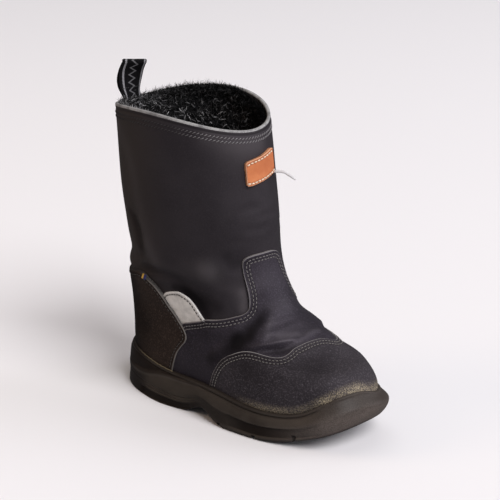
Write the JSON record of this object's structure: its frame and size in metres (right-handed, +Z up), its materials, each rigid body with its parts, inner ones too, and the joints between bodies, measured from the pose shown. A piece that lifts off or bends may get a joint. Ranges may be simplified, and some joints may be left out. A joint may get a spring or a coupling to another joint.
{
  "type": "winter shoe",
  "caption": "Child's mid-calf pull-on winter boot in dark leather with a stitched toe cap, heel counter, instep tab, tan front patch, fleece lining, back pull loop and lugged rubber cup sole.",
  "frame": {"origin": "on the floor, under the middle of the heel, at the flat of the heel tread", "axes": "+X points to the toe, +Y to the inner side of the right foot, +Z up; the boot stands on -Z"},
  "size_m": [0.2081, 0.089, 0.2203],
  "materials": {
    "leg_leather": "satin waxed grain",
    "vamp_leather": "satin waxed grain",
    "cap_leather": "matte, scuffed",
    "counter_leather": "satin",
    "reflector_fabric": "matte reflective film",
    "patch_leather": "satin",
    "webbing": "matte woven",
    "sole_rubber": "matte",
    "insole_felt": "matte felt"
  },
  "bodies": {
    "root": {"upper": "leg_leather", "outsole": "sole_rubber", "insole": "insole_felt", "toe_cap": "cap_leather", "heel_counter": "counter_leather", "vamp": "vamp_leather", "reflector": "reflector_fabric", "front_patch": "patch_leather", "pull_loop": "webbing"}
  },
  "joints": []
}
